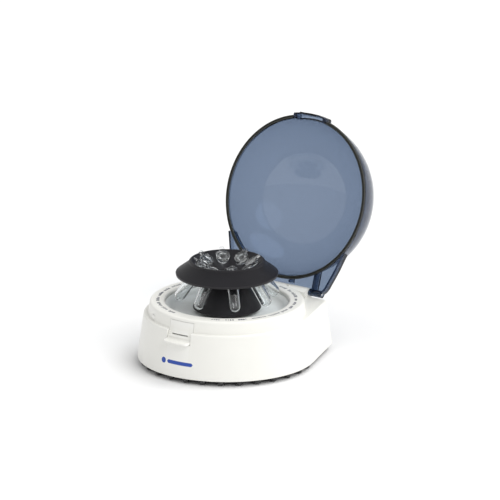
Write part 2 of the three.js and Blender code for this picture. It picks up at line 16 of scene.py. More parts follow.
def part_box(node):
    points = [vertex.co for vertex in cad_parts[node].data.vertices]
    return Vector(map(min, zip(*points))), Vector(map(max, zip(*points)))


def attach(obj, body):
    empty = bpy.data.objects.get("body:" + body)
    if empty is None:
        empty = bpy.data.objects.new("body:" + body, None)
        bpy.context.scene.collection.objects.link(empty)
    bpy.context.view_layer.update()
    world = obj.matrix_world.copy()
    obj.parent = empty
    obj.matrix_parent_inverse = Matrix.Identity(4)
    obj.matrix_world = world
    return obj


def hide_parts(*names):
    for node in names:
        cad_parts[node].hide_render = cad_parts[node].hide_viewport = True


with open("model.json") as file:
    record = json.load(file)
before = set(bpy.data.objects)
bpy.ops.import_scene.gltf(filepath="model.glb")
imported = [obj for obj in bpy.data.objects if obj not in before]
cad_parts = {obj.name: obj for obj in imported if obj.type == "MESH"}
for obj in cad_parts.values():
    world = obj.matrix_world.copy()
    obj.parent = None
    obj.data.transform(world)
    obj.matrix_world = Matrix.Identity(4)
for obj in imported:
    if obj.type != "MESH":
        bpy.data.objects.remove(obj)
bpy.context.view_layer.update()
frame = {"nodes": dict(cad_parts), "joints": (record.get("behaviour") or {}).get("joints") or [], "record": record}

# ---------------------------------------------------------------- places taken from the frame

MM = 0.001
JOINTS = {joint["name"]: joint for joint in frame["joints"]}


def size_of(node):
    low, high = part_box(node)
    return (high - low) / MM


def place_of(node):
    """Middle of a CAD node, in millimetres from the rotor's axis and the table."""
    low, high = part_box(node)
    return ((low + high) / 2 - AXIS) / MM


def joint_place(name):
    return (Vector(JOINTS[name]["pos_m"]) - AXIS) / MM


AXIS = sum(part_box("spindle"), Vector()) / 2
AXIS.z = 0

HINGE = joint_place("lid_hinge")
OPEN_ANGLE = -JOINTS["lid_hinge"]["range_deg"][0]
OPENED = (
    Matrix.Translation(HINGE)
    @ Matrix.Rotation(math.radians(OPEN_ANGLE), 4, Vector(JOINTS["lid_hinge"]["axis"]))
    @ Matrix.Translation(-HINGE)
)

# ---------------------------------------------------------------- driving dimensions, in millimetres

SMOOTH = 192  # flats round the large turned pieces
SHARP = math.radians(34)  # edges that turn by more than this stay crisp
GAP = 0.35
WALL = 2.4

# Housing
FOOT_Z = 5.2
LEDGE_Z = 47.35
FOOT_R = size_of("housing_shell").x / 2
LEDGE_R = 77.3
FOOT_REAR = 88
LEDGE_REAR = 83.3
SIDE_ANGLE = 18
CORNER_R = 5
RING_TOP_Z = 59.3
RING_FOOT_R = 73.2
RING_TOP_R = 71.9
RING_ROUND = 2.6
BOWL_R = 57.4
BOWL_FLOOR_Z = 48.5
PRINT_R = 63.9

# Lid and hinge
RIM_Z = LEDGE_Z + 0.4
RIM_R = 77.25
DOME_R = 75.6
DOME_HEIGHT = 71.1
DOME_WALL = 1.6
BLOCK_HALF = 34.3
KNUCKLE_OUTER = 49
KNUCKLE_R = 3.3
PIN_R = 1.5
MIDDLE_LOW = HINGE.z + 4.2
MIDDLE_HIGH = HINGE.z + 5.6
ARM_LOW = RIM_Z + 5.3
ARM_HIGH = RIM_Z + 6.7
ARM_LINE = [
    (65, 43.5), (59.9, 59.6), (56.9, 67.6), (54.3, 74), (52.9, 77.8), (51.2, 80.6), (50, 82.2), (48.5, 83.4),
]
INNER_RIB = (37.8, 40.6)
RIB_X = 12
RIB_END = 79.4
RIB_SLOT_END = 81.5

# Latch tongue and lid lever
TONGUE_HALF = 13
TONGUE_ROOT_Z = 56
LIP_R = 85.15
LEVER_ANGLE = 33.4

# Rotor and tubes
TUBES = 8
TUBE_TILT = 36
TUBE_END = Vector((0, -44, 65.7))
TUBE_R = 5.2
TUBE_SEAT = 31.9
SPINDLE_R = 2.5

# Base
BUMP_STEP = 12.5
BUMP_R = 77.8
PAN_Z = 3.2
PAN_THICKNESS = 2.6
PAN_BEVEL = 2.6  # how far its lower edge runs in, so that the bumps stand clear
INLET = place_of("dc_inlet")
SWITCH = place_of("power_switch_frame")
BOSSES = [place_of(f"case_screw_{i}") for i in range(1, 5)]
FEET = ["foot_front_left", "foot_front_right", "foot_rear_left", "foot_rear_right"]

# ---------------------------------------------------------------- shapes: (points, faces) in millimetres


def arc(x, y, radius, start, end, steps=8):
    """Points along an arc, in degrees, with both ends."""
    angles = [math.radians(start + (end - start) * i / steps) for i in range(steps + 1)]
    return [(x + radius * math.cos(a), y + radius * math.sin(a)) for a in angles]


def stack(rings, closed):
    """Faces between rings of points; the ends are capped unless the stack closes on itself."""
    count = len(rings[0])
    pairs = list(zip(rings, rings[1:]))
    if closed:
        pairs.append((rings[-1], rings[0]))
    faces = []
    for a, b in pairs:
        for i in range(count):
            j = (i + 1) % count
            face = list(dict.fromkeys([a[i], a[j], b[j], b[i]]))
            if len(face) > 2:
                faces.append(face)
    if not closed:
        faces += [list(ring) for ring in (rings[0], rings[-1]) if len(set(ring)) > 2]
    return faces


def turned(profile, flats=SMOOTH):
    """A (radius, height) profile turned about the axis. It closes on itself, or has both ends on the axis."""
    points, rings = [], []
    for radius, z in profile:
        first = len(points)
        if radius < 1e-6:
            points.append((0, 0, z))
            rings.append([first] * flats)
            continue
        for i in range(flats):
            angle = 2 * math.pi * i / flats
            points.append((radius * math.cos(angle), radius * math.sin(angle), z))
        rings.append(range(first, first + flats))
    return points, stack(rings, closed=profile[0][0] > 1e-6)


def loft(outlines):
    """Outlines of points in space, with the same count, joined in order and capped."""
    count = len(outlines[0])
    points = [point for outline in outlines for point in outline]
    return points, stack([range(i * count, (i + 1) * count) for i in range(len(outlines))], closed=False)


def slab(outline, low, high):
    return loft([[(x, y, z) for x, y in outline] for z in (low, high)])


def rail(section, left, right):
    """A section in Y and Z, carried along X."""
    return loft([[(x, y, z) for y, z in section] for x in (left, right)])


def block(low, high):
    (x0, y0, z0), (x1, y1, z1) = low, high
    return slab([(x0, y0), (x1, y0), (x1, y1), (x0, y1)], z0, z1)


def rounded_block(low, high, radius, axis="Z", steps=5):
    """A block with its edges along one axis rounded."""
    order = {"Z": (0, 1, 2), "Y": (2, 0, 1), "X": (1, 2, 0)}[axis]
    u0, v0, w0 = (low[i] for i in order)
    u1, v1, w1 = (high[i] for i in order)
    outline = (
        arc(u1 - radius, v1 - radius, radius, 0, 90, steps)
        + arc(u0 + radius, v1 - radius, radius, 90, 180, steps)
        + arc(u0 + radius, v0 + radius, radius, 180, 270, steps)
        + arc(u1 - radius, v0 + radius, radius, 270, 360, steps)
    )
    back = [order.index(i) for i in range(3)]
    return loft([[tuple((u, v, w)[i] for i in back) for u, v in outline] for w in (w0, w1)])


def bar(radius, low, high, x=0, y=0, flats=48):
    points, faces = turned([(0, low), (radius, low), (radius, high), (0, high)], flats)
    return [(px + x, py + y, z) for px, py, z in points], faces


def hinge_bar(radius, left, right, flats=48):
    ring = [(HINGE.y + y, HINGE.z + z) for y, z in arc(0, 0, radius, 0, 360, flats)[:-1]]
    return rail(ring, left, right)


def moved(shape, matrix):
    points, faces = shape
    return [tuple(matrix @ Vector(p)) for p in points], faces


def joined(*shapes):
    points, faces = [], []
    for shape_points, shape_faces in shapes:
        first = len(points)
        points += shape_points
        faces += [[first + i for i in face] for face in shape_faces]
    return points, faces


def mirrored(outline):
    return outline + [(-x, y) for x, y in reversed(outline)]


def turn_z(degrees):
    return Matrix.Rotation(math.radians(degrees), 4, "Z")


def at(spot, shape):
    """A shape moved in plan to a place."""
    return moved(shape, Matrix.Translation((spot.x, spot.y, 0)))


# ---------------------------------------------------------------- objects


def solid(name, shape):
    """An object made of a shape, in the part's frame."""
    points, faces = shape
    mesh = bpy.data.meshes.new(name)
    mesh.from_pydata([Vector(p) * MM + AXIS for p in points], [], faces)
    edit = bmesh.new()
    edit.from_mesh(mesh)
    bmesh.ops.recalc_face_normals(edit, faces=edit.faces)
    edit.to_mesh(mesh)
    edit.free()
    made = bpy.data.objects.new(name, mesh)
    bpy.context.scene.collection.objects.link(made)
    return made


def apply_modifiers(made):
    depsgraph = bpy.context.evaluated_depsgraph_get()
    mesh = bpy.data.meshes.new_from_object(made.evaluated_get(depsgraph))
    made.modifiers.clear()
    made.data = mesh


def combine(made, operation, other):
    """Joins another object to this one, or cuts it away, and uses the other object up."""
    modifier = made.modifiers.new("combine", "BOOLEAN")
    modifier.operation, modifier.solver, modifier.object = operation, "MANIFOLD", other
    apply_modifiers(made)
    bpy.data.objects.remove(other)
    return made


def boolean(made, operation, shapes):
    for shape in shapes:
        combine(made, operation, solid("tool", shape))
    return made


def add(made, *shapes):
    return boolean(made, "UNION", shapes)


def cut(made, *shapes):
    return boolean(made, "DIFFERENCE", shapes)


def keep(made, *shapes):
    return boolean(made, "INTERSECT", shapes)


def soften(made, width=0.3, segments=2):
    """Rounds the crisp edges of a small moulding."""
    modifier = made.modifiers.new("soften", "BEVEL")
    modifier.width, modifier.segments = width * MM, segments
    modifier.limit_method, modifier.angle_limit = "ANGLE", SHARP
    apply_modifiers(made)
    return made


def piece(made, body, slot, material, *nodes):
    """Finishes an object: smooth faces, its material, and the CAD body and nodes it goes with; the slot is not
    used.
    """
    made.data.materials.clear()
    made.data.materials.append(material)
    made.data.shade_smooth()
    made.data.set_sharp_from_angle(angle=SHARP)
    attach(made, body)
    if nodes:
        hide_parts(*nodes)
    return made


# ---------------------------------------------------------------- materials


class Nodes:
    """A new material's node tree, with short ways to add nodes to it."""

    def __init__(self, name):
        self.material = bpy.data.materials.new(name)
        self.material.use_nodes = True
        self.tree = self.material.node_tree
        self.shader = self.tree.nodes["Principled BSDF"]
        self.place = self.node("ShaderNodeTexCoord").outputs["Object"]

    def node(self, kind, **values):
        made = self.tree.nodes.new(kind)
        for name, value in values.items():
            setattr(made, name, value)
        return made

    def link(self, source, target):
        self.tree.links.new(source, target)

    def noise(self, scale, detail=2.0, stretch=None):
        made = self.node("ShaderNodeTexNoise")
        made.inputs["Scale"].default_value = scale
        made.inputs["Detail"].default_value = detail
        place = self.place
        if stretch:
            mapping = self.node("ShaderNodeMapping")
            mapping.inputs["Scale"].default_value = stretch
            self.link(place, mapping.inputs["Vector"])
            place = mapping.outputs["Vector"]
        self.link(place, made.inputs["Vector"])
        return made.outputs["Fac"]

    def spread(self, source, low, high, start=0.3, end=0.7):
        made = self.node("ShaderNodeMapRange")
        self.link(source, made.inputs["Value"])
        for name, value in zip(("From Min", "From Max", "To Min", "To Max"), (start, end, low, high)):
            made.inputs[name].default_value = value
        return made.outputs["Result"]

    def mix(self, share, first, second):
        made = self.node("ShaderNodeMix", data_type="RGBA")
        self.link(share, made.inputs[0])
        for socket, value in ((made.inputs[6], first), (made.inputs[7], second)):
            if hasattr(value, "links"):
                self.link(value, socket)
            else:
                socket.default_value = (*value, 1)
        return made.outputs[2]

    def bump(self, height, depth, strength=0.5):
        made = self.node("ShaderNodeBump")
        made.inputs["Strength"].default_value = strength
        made.inputs["Distance"].default_value = depth * MM
        self.link(height, made.inputs["Height"])
        self.link(made.outputs["Normal"], self.shader.inputs["Normal"])

    def edges(self, source, worn, amount=0.5):
        """Mixes a colour in along the convex edges."""
        pointed = self.node("ShaderNodeNewGeometry").outputs["Pointiness"]
        share = self.spread(pointed, 0, amount, 0.51, 0.56)
        return self.mix(share, source, worn)

    def set(self, **values):
        for name, value in values.items():
            self.shader.inputs[name.replace("_", " ")].default_value = value


def tint(colour, factor):
    return tuple(channel * factor for channel in colour)


def moulded(name, colour, roughness, grain, depth, worn, metallic=0.0, stretch=None, vary=0.06, **extra):
    """Plastic, rubber or metal: uneven colour and gloss, a fine surface grain and worn edges."""
    nodes = Nodes(name)
    cloud = nodes.noise(38, 3)
    fine = nodes.noise(grain, 3, stretch)
    base = nodes.mix(nodes.spread(cloud, 0, 1), tint(colour, 1 - vary), tint(colour, 1 + vary / 2))
    base = nodes.mix(nodes.spread(fine, 0, 0.35), base, tint(colour, 1 - 1.5 * vary))
    nodes.link(nodes.edges(base, worn), nodes.shader.inputs["Base Color"])
    nodes.link(nodes.spread(fine, roughness * 0.85, roughness * 1.15), nodes.shader.inputs["Roughness"])
    nodes.bump(fine, depth)
    nodes.set(Metallic=metallic, **extra)
    return nodes.material


def lets_lamps_through(nodes):
    """Shadow rays pass straight through, so that clear pieces throw a tinted shadow and not a black one."""
    clear = nodes.node("ShaderNodeBsdfTransparent")
    rays = nodes.node("ShaderNodeLightPath")
    mixed = nodes.node("ShaderNodeMixShader")
    output = nodes.tree.nodes["Material Output"]
    nodes.link(rays.outputs["Is Shadow Ray"], mixed.inputs[0])
    nodes.link(nodes.shader.outputs[0], mixed.inputs[1])
    nodes.link(clear.outputs[0], mixed.inputs[2])
    nodes.link(mixed.outputs[0], output.inputs["Surface"])
    return clear


def smoke_plastic():
    """Polished smoky moulding, tinted at its faces and in its thickness, so edges and ribs look darker."""
    nodes = Nodes("smoke_plastic")
    fine = nodes.noise(160, 2)
    nodes.link(nodes.spread(fine, 0.015, 0.05), nodes.shader.inputs["Roughness"])
    nodes.bump(nodes.noise(22, 2), 0.05, 0.25)
    nodes.set(Base_Color=(0.33, 0.4, 0.51, 1), Transmission_Weight=1, IOR=1.42)
    lets_lamps_through(nodes).inputs["Color"].default_value = (0.55, 0.65, 0.68, 1)
    dye = nodes.node("ShaderNodeVolumeAbsorption")
    dye.inputs["Color"].default_value = (0.26, 0.34, 0.46, 1)
    dye.inputs["Density"].default_value = 500
    nodes.link(dye.outputs[0], nodes.tree.nodes["Material Output"].inputs["Volume"])
    return nodes.material


def tube_plastic():
    """Natural polypropylene: clear, a little cloudy, with a soft sheen."""
    nodes = Nodes("tube_plastic")
    cloud = nodes.noise(240, 3)
    nodes.link(
        nodes.mix(nodes.spread(cloud, 0, 1), (0.9, 0.92, 0.93), (0.97, 0.98, 0.98)),
        nodes.shader.inputs["Base Color"],
    )
    nodes.link(nodes.spread(cloud, 0.02, 0.06), nodes.shader.inputs["Roughness"])
    nodes.bump(cloud, 0.008, 0.1)
    nodes.set(Transmission_Weight=1, IOR=1.49)
    lets_lamps_through(nodes).inputs["Color"].default_value = (0.9, 0.92, 0.93, 1)
    return nodes.material


def make_materials():
    made = {
        "white_plastic": moulded(
            "white_plastic", (0.82, 0.815, 0.77), 0.34, 900, 0.02, (0.87, 0.87, 0.85), vary=0.02
        ),
        "pale_plastic": moulded(
            "pale_plastic", (0.8, 0.83, 0.815), 0.36, 700, 0.02, (0.8, 0.82, 0.81), vary=0.03
        ),
        "black_plastic": moulded(
            "black_plastic", (0.016, 0.016, 0.017), 0.45, 1500, 0.05, (0.05, 0.05, 0.05)
        ),
        "rotor_black": moulded(
            "rotor_black", (0.011, 0.0105, 0.013), 0.5, 1700, 0.05, (0.04, 0.038, 0.042), vary=0.12,
            Specular_IOR_Level=0.3
        ),
        "rubber": moulded("rubber", (0.012, 0.012, 0.012), 0.8, 2200, 0.08, (0.03, 0.03, 0.03)),
        "steel": moulded(
            "steel", (0.6, 0.6, 0.61), 0.28, 900, 0.01, (0.75, 0.75, 0.75), 1.0, (1, 1, 12)
        ),
        "motor_steel": moulded(
            "motor_steel", (0.5, 0.5, 0.51), 0.38, 700, 0.02, (0.66, 0.66, 0.66), 1.0, (1, 1, 9)
        ),
        "aluminium": moulded(
            "aluminium", (0.7, 0.7, 0.72), 0.42, 800, 0.02, (0.85, 0.85, 0.86), 1.0, (1, 14, 1)
        ),
        "brass": moulded("brass", (0.66, 0.5, 0.24), 0.3, 900, 0.01, (0.8, 0.66, 0.4), 1.0, (1, 1, 14)),
        "circuit_board": moulded("circuit_board", (0.03, 0.2, 0.08), 0.4, 420, 0.04, (0.25, 0.26, 0.14)),
        "lead_red": moulded("lead_red", (0.42, 0.02, 0.015), 0.5, 1200, 0.03, (0.5, 0.06, 0.05)),
        "lead_black": moulded("lead_black", (0.015, 0.015, 0.015), 0.5, 1200, 0.03, (0.04, 0.04, 0.04)),
        "smoke_plastic": smoke_plastic(),
        "clear_plastic": tube_plastic(),
        "seal": moulded("seal", (0.016, 0.017, 0.013), 0.55, 1800, 0.05, (0.06, 0.06, 0.05)),
        "blue_ink": moulded("blue_ink", (0.012, 0.05, 0.32), 0.45, 1400, 0.01, (0.02, 0.08, 0.4)),
        "dark_ink": moulded("dark_ink", (0.02, 0.028, 0.06), 0.5, 1400, 0.01, (0.04, 0.05, 0.09)),
        "white_ink": moulded("white_ink", (0.8, 0.8, 0.78), 0.5, 1400, 0.01, (0.85, 0.85, 0.84)),
    }
    return made


def dress_cad_nodes(materials):
    """The CAD nodes that stay, such as the motor and the pins, take the material of their slot."""
    slots = {part["node"]: part["material_slot"] for part in frame["record"]["subparts"]}
    for name, node in frame["nodes"].items():
        node.data.materials.clear()
        node.data.materials.append(materials[slots[name]])


# ---------------------------------------------------------------- housing


def body_outline(radius, rear):
    """The housing seen from above: round in front, sides that run in, flat back with rounded corners."""
    side = math.radians(SIDE_ANGLE)
    corner_y = rear - CORNER_R
    corner_x = (radius - CORNER_R - corner_y * math.sin(side)) / math.cos(side)
    return (
        arc(0, 0, radius, -180 - SIDE_ANGLE, SIDE_ANGLE, 160)
        + arc(corner_x, corner_y, CORNER_R, SIDE_ANGLE, 90, 12)
        + arc(-corner_x, corner_y, CORNER_R, 90, 180 - SIDE_ANGLE, 12)
    )


def body_loft(levels):
    """The housing's outline through (height, front radius, back) levels."""
    base = body_outline(FOOT_R, FOOT_REAR)
    outlines = []
    for z, radius, rear in levels:
        front, back = radius / FOOT_R, rear / FOOT_REAR
        outlines.append([(x * front, y * (front if y < 0 else back), z) for x, y in base])
    return loft(outlines)


def wall_level(z, inset=0.0):
    up = (z - FOOT_Z) / (LEDGE_Z - FOOT_Z)
    radius = FOOT_R + (LEDGE_R - FOOT_R) * up - inset
    return z, radius, FOOT_REAR + (LEDGE_REAR - FOOT_REAR) * up - inset


def wall_shape():
    low, high = 0.5, 1.4  # roundings at the foot and at the ledge
    foot = [wall_level(FOOT_Z + low + y, low - x) for x, y in arc(0, 0, low, -90, 0, 4)]
    ledge = [wall_level(LEDGE_Z - high + y, high - x) for x, y in arc(0, 0, high, 0, 90, 7)]
    return body_loft(foot + ledge)


def ring_shape():
    """The raised ring round the bowl, open underneath."""
    return turned(
        [
            (RING_FOOT_R + 0.5, LEDGE_Z - 1),
            (RING_FOOT_R + 0.5, LEDGE_Z),
            *arc(RING_FOOT_R + 0.6, LEDGE_Z + 0.6, 0.6, -90, -180, 4)[1:],
            *arc(RING_TOP_R - RING_ROUND, RING_TOP_Z - RING_ROUND, RING_ROUND, 6, 90, 9),
            *arc(BOWL_R + 2.2, RING_TOP_Z - 2.2, 2.2, 90, 180, 9),
            (BOWL_R, RING_TOP_Z - 3.2),
            (BOWL_R + 1.8, RING_TOP_Z - 3.2),
            (BOWL_R + 2.4, RING_TOP_Z - 2),
            (RING_TOP_R - 3.2, RING_TOP_Z - 2),
            (RING_TOP_R - 2.2, RING_TOP_Z - 3.4),
            (RING_FOOT_R - 2, LEDGE_Z - 1),
        ]
    )


def hinge_block_shape():
    return rail(
        [
            (77, LEDGE_Z - 1),
            *arc(78.0, HINGE.z + 0.9, 1.0, 180, 125, 4),
            *arc(81.4, HINGE.z + 2.1, 1.6, 125, 90, 4),
            *arc(HINGE.y, HINGE.z, 3.7, 90, 0, 14),
            (HINGE.y + 3.7, 46),
            (LEDGE_REAR + 0.3, 36),
            (LEDGE_REAR - 1.5, 40),
        ],
        -BLOCK_HALF,
        BLOCK_HALF,
    )


def at_lever(shape):
    return moved(shape, turn_z(-90 - LEVER_ANGLE))


def housing(materials):
    made = solid("housing", wall_shape())
    cut(made, body_loft([wall_level(FOOT_Z - 2, WALL), wall_level(LEDGE_Z - WALL, WALL)]))
    add(made, *[bar(4, 8, LEDGE_Z - 1, p.x, p.y) for p in BOSSES])
    cut(made, bar(RING_FOOT_R - 1.9, LEDGE_Z - 6, LEDGE_Z + 2, flats=SMOOTH))
    add(made, ring_shape())
    hinge_block = solid("hinge_block", hinge_block_shape())
    cut(hinge_block, bar(RIM_R + 0.7, LEDGE_Z - 0.2, RING_TOP_Z, flats=SMOOTH))
    combine(made, "UNION", hinge_block)
    cut(
        made,
        block((-TONGUE_HALF - GAP, -90, 36.6), (TONGUE_HALF + GAP, -68, TONGUE_ROOT_Z + GAP)),
        at_lever(rounded_block((66, -2.65, LEDGE_Z + 0.1), (76, 2.65, 52.9), 0.5, "X")),
        hinge_bar(PIN_R + GAP, -BLOCK_HALF - 1, -BLOCK_HALF + 10),
        hinge_bar(PIN_R + GAP, BLOCK_HALF - 10, BLOCK_HALF + 1),
        rounded_block((INLET.x - 5, 78, INLET.z - 6), (INLET.x + 5, 92, INLET.z + 6), 1, "Y"),
        rounded_block((SWITCH.x - 10.5, 78, SWITCH.z - 6.9), (SWITCH.x + 10.5, 92, SWITCH.z + 6.9), 1, "Y"),
        *[bar(1.3, 4, 24, p.x, p.y) for p in BOSSES],
        *[block((x - 1.6, 74, LEDGE_Z + 0.1), (x + 1.6, RIB_SLOT_END, 60)) for x in (-RIB_X, RIB_X)],
    )
    return piece(made, "base", "white_plastic", materials["white_plastic"], "housing_shell")


def bowl(materials):
    lip = RING_TOP_Z - 3.2 - GAP
    inner = SPINDLE_R + 3.5
    shape = turned(
        [
            (inner, BOWL_FLOOR_Z - 2),
            (inner, BOWL_FLOOR_Z + 0.9),
            *arc(inner + 0.3, BOWL_FLOOR_Z + 0.9, 0.3, 180, 90, 3),
            (9, BOWL_FLOOR_Z + 1.2),
            *arc(9.9, BOWL_FLOOR_Z + 0.5, 0.5, 180, 270, 4),
            *arc(45, BOWL_FLOOR_Z + 10, 10, -90, -32, 12),
            (BOWL_R - 0.6, lip),
            (BOWL_R + 2.2, lip),
            (BOWL_R - 1.2, lip - 3),
            (51.5, BOWL_FLOOR_Z - 0.6),
            (47, BOWL_FLOOR_Z - 2),
        ]
    )
    made = solid("chamber_bowl", shape)
    return piece(made, "base", "pale_plastic", materials["pale_plastic"], "rotor_chamber")


def latch(materials):
    """The springy tongue with the curved lip that a finger presses to let the lid go."""
    shape = turned(
        [
            (RING_TOP_R + 0.3, TONGUE_ROOT_Z),
            (RING_FOOT_R + 0.2, LEDGE_Z + 1.5),
            (76.2, 43),
            *arc(79.1, 41.6, 2.1, 170, 245, 6),
            (LIP_R - 1.2, 39.35),
            *arc(LIP_R - 1.0, 38.35, 1.0, 80, -60, 8),
            (LIP_R - 2.4, 37.2),
            (79.2, 37.4),
            *arc(77.4, 39.4, 2.0, 270, 190, 5),
            (74.3, 42.6),
            (RING_FOOT_R - 1.8, LEDGE_Z + 1.5),
            (RING_TOP_R - 1.9, TONGUE_ROOT_Z),
        ],
        360,
    )
    made = solid("latch", shape)
    plan = [(TONGUE_HALF, -60), *arc(TONGUE_HALF - 4, -80.5, 4, 0, -62, 8), (TONGUE_HALF - 5.4, -LIP_R - 1)]
    keep(made, slab(mirrored(plan), 30, 60))
    cut(made, rounded_block((-9, -80, 43.6), (9, -60, 44.7), 0.5, "Y"))
    return piece(made, "latch", "white_plastic", materials["white_plastic"], "latch_tongue")


def lever(materials):
    nose = [(66, -2.3), *arc(72.4, -1.3, 1, -90, 0, 4), *arc(72.4, 1.3, 1, 0, 90, 4), (66, 2.3)]
    made = solid("lid_lever", at_lever(slab(nose, 47.8, 52.5)))
    add(made, at_lever(block((66, -1.5, 44), (68, 1.5, 48))))
    soften(made, 0.25)
    return piece(made, "switch_lever", "white_plastic", materials["white_plastic"], "lid_switch_lever")


# ---------------------------------------------------------------- base


def pan(materials):
    """The black tray underneath, with its row of round bumps below the wall."""
    inside = WALL + GAP
    levels = [
        wall_level(PAN_Z, inside + PAN_BEVEL),
        wall_level(PAN_Z + 1.1, inside),
        wall_level(PAN_Z + PAN_THICKNESS, inside),
    ]
    made = solid("pan", body_loft(levels))
    for i in range(-9, 9):
        angle = math.radians(-90 + (i + 0.5) * BUMP_STEP)
        dome = [(0, 0.75), *arc(1.6, 2.25, 1.5, -90, 0, 7), (3.15, 4), (0, 4)]
        bump = turned(dome, 32)
        spot = Matrix.Translation((BUMP_R * math.cos(angle), BUMP_R * math.sin(angle), 0))
        add(made, moved(bump, spot))
    for x, y in [(x, y) for x in (-27, 27) for y in (49, 69)]:
        add(made, bar(2.5, PAN_Z + 1, 12 - GAP, x, y))
    for name in FEET:
        spot = place_of(name)
        cut(made, bar(7.4, 0, PAN_Z + 0.8, spot.x, spot.y))
    cut(made, *[bar(1.7, 0, 9, p.x, p.y, 24) for p in BOSSES])
    return piece(made, "base", "black_plastic", materials["black_plastic"], "base_pan")


def foot(name, materials):
    spot = place_of(name)
    profile = [
        (0, 0.5), (2.2, 0.5), (2.6, 0), (3.6, 0), (4, 0.5), (4.8, 0.5), (5.2, 0),
        *arc(6.2, 0.8, 0.8, -90, 0, 5), (7, PAN_Z + 0.5), (0, PAN_Z + 0.5),
    ]
    made = solid(name.replace("foot", "pad"), at(spot, turned(profile, 64)))
    return piece(made, "base", "rubber", materials["rubber"], name)


def screw(node, materials):
    """A pan-head screw with a cross recess, standing on its head."""
    spot = place_of(node)
    low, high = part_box(node)
    bottom, top = low.z / MM, high.z / MM
    head = 2.95 if "case" in node else 2.65
    shank = 1.1 if "case" in node else 1.4
    rise = 1.2
    profile = [
        (0, bottom), (head - 1, bottom), *arc(head - 0.7, bottom + 0.7, 0.7, -70, 0, 4),
        (head, bottom + rise), (shank, bottom + rise), (shank, top - 0.8), (0.3, top), (0, top),
    ]
    made = solid(node.replace("screw", "bolt"), at(spot, turned(profile, 40)))
    for size in ((1.7, 0.35), (0.35, 1.7)):
        low_corner = (spot.x - size[0], spot.y - size[1], bottom - 1)
        high_corner = (spot.x + size[0], spot.y + size[1], bottom + 0.7)
        cut(made, block(low_corner, high_corner))
    return piece(made, "base", "steel", materials["steel"], node)


# ---------------------------------------------------------------- sockets and switch in the back wall


def inlet(materials):
    low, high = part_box("dc_inlet")
    half_x, half_z = (high.x - low.x) / 2 / MM, (high.z - low.z) / 2 / MM
    back = (high.y - AXIS.y) / MM
    made = solid(
        "power_inlet",
        rounded_block(
            (INLET.x - half_x, 73, INLET.z - half_z), (INLET.x + half_x, back, INLET.z + half_z), 1.1, "Y"
        ),
    )
    along_y = Matrix.Translation((INLET.x, 0, INLET.z)) @ Matrix.Rotation(math.radians(-90), 4, "X")
    bore = [(0, 77), (3.4, 77), (3.4, back - 0.5), (3.9, back + 0.1), (3.9, 90), (0, 90)]
    cut(made, moved(turned(bore, 64), along_y))
    pin = [(0, 76), (1, 76), (1, 84.6), *arc(0.5, 84.6, 0.5, 0, 90, 4), (0, 85.1)]
    add(made, moved(turned(pin, 32), along_y))
    return piece(made, "base", "black_plastic", materials["black_plastic"], "dc_inlet")


def switch_frame(materials):
    low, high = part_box("power_switch_frame")
    half_x, half_z = (high.x - low.x) / 2 / MM, (high.z - low.z) / 2 / MM
    back = (high.y - AXIS.y) / MM
    made = solid(
        "switch_bezel",
        rounded_block(
            (SWITCH.x - half_x, 74, SWITCH.z - half_z), (SWITCH.x + half_x, back, SWITCH.z + half_z), 1.2, "Y"
        ),
    )
    low_corner, high_corner = (SWITCH.x - 8.6, 78, SWITCH.z - 5.2), (SWITCH.x + 8.6, 90, SWITCH.z + 5.2)
    cut(made, rounded_block(low_corner, high_corner, 0.6, "Y"))
    soften(made, 0.3)
    return piece(made, "base", "black_plastic", materials["black_plastic"], "power_switch_frame")


def rocker(materials):
    """The rocker, with a line at its on end and a ring at its off end."""
    pivot = joint_place("power_rocker")
    rest = 8
    tilt = Matrix.Translation((pivot.x, pivot.y, pivot.z)) @ turn_z(rest)
    outline = [(-7.8, -1.6), (7.8, -1.6), (8, 1.1), (4, 1.05), (0.8, 1.5), (-0.8, 1.5), (-4, 1.05), (-8, 1.1)]
    made = solid("switch_rocker", moved(slab(outline, -4.7, 4.7), tilt))
    soften(made, 0.35, 3)
    piece(made, "rocker", "black_plastic", materials["black_plastic"], "power_switch_rocker")
    line = block((-5.6, 1.0, -1.6), (-5.1, 1.16, 1.6))
    ring = moved(
        turned([(1.15, 1.0), (1.55, 1.0), (1.55, 1.16), (1.15, 1.16)], 40),
        Matrix.Translation((5.2, 0, 0)) @ Matrix.Rotation(math.radians(-90), 4, "X"),
    )
    for name, shape in (("rocker_on_mark", line), ("rocker_off_mark", ring)):
        piece(solid(name, moved(shape, tilt)), "rocker", "white_plastic", materials["white_ink"])


# ---------------------------------------------------------------- print


def ring_print(materials):
    """Short plain dashes round the ring, where the real part carries its lettering."""
    draw = random.Random(7)
    height = 0.06
    shapes = []
    for start, end in ((106, 257), (293, 434)):
        angle = start
        while angle < end:
            for _ in range(draw.randint(3, 7)):
                width = draw.choice((0.9, 1.2, 1.5))
                tall = draw.choice((2.2, 2.2, 3.0))
                dash = block((PRINT_R - 1.1, -width / 2, 0), (PRINT_R - 1.1 + tall, width / 2, height))
                shapes.append(moved(dash, Matrix.Translation((0, 0, RING_TOP_Z)) @ turn_z(angle)))
                angle += 1.9
            angle += draw.uniform(1.6, 4.5)
    made = solid("ring_print", joined(*shapes))
    return piece(made, "base", "white_plastic", materials["dark_ink"])


def wall_patch(outline, centre_z, rise=0.05):
    """An outline in (across, up) laid on the front wall, a little proud of it."""
    points = []
    for depth in (-0.3, rise):
        for across, up in outline:
            z = centre_z + up
            radius = wall_level(z)[1] + depth
            angle = math.radians(-90) + across / radius
            points.append((radius * math.cos(angle), radius * math.sin(angle), z))
    count = len(outline)
    return points, stack([range(count), range(count, 2 * count)], closed=False)


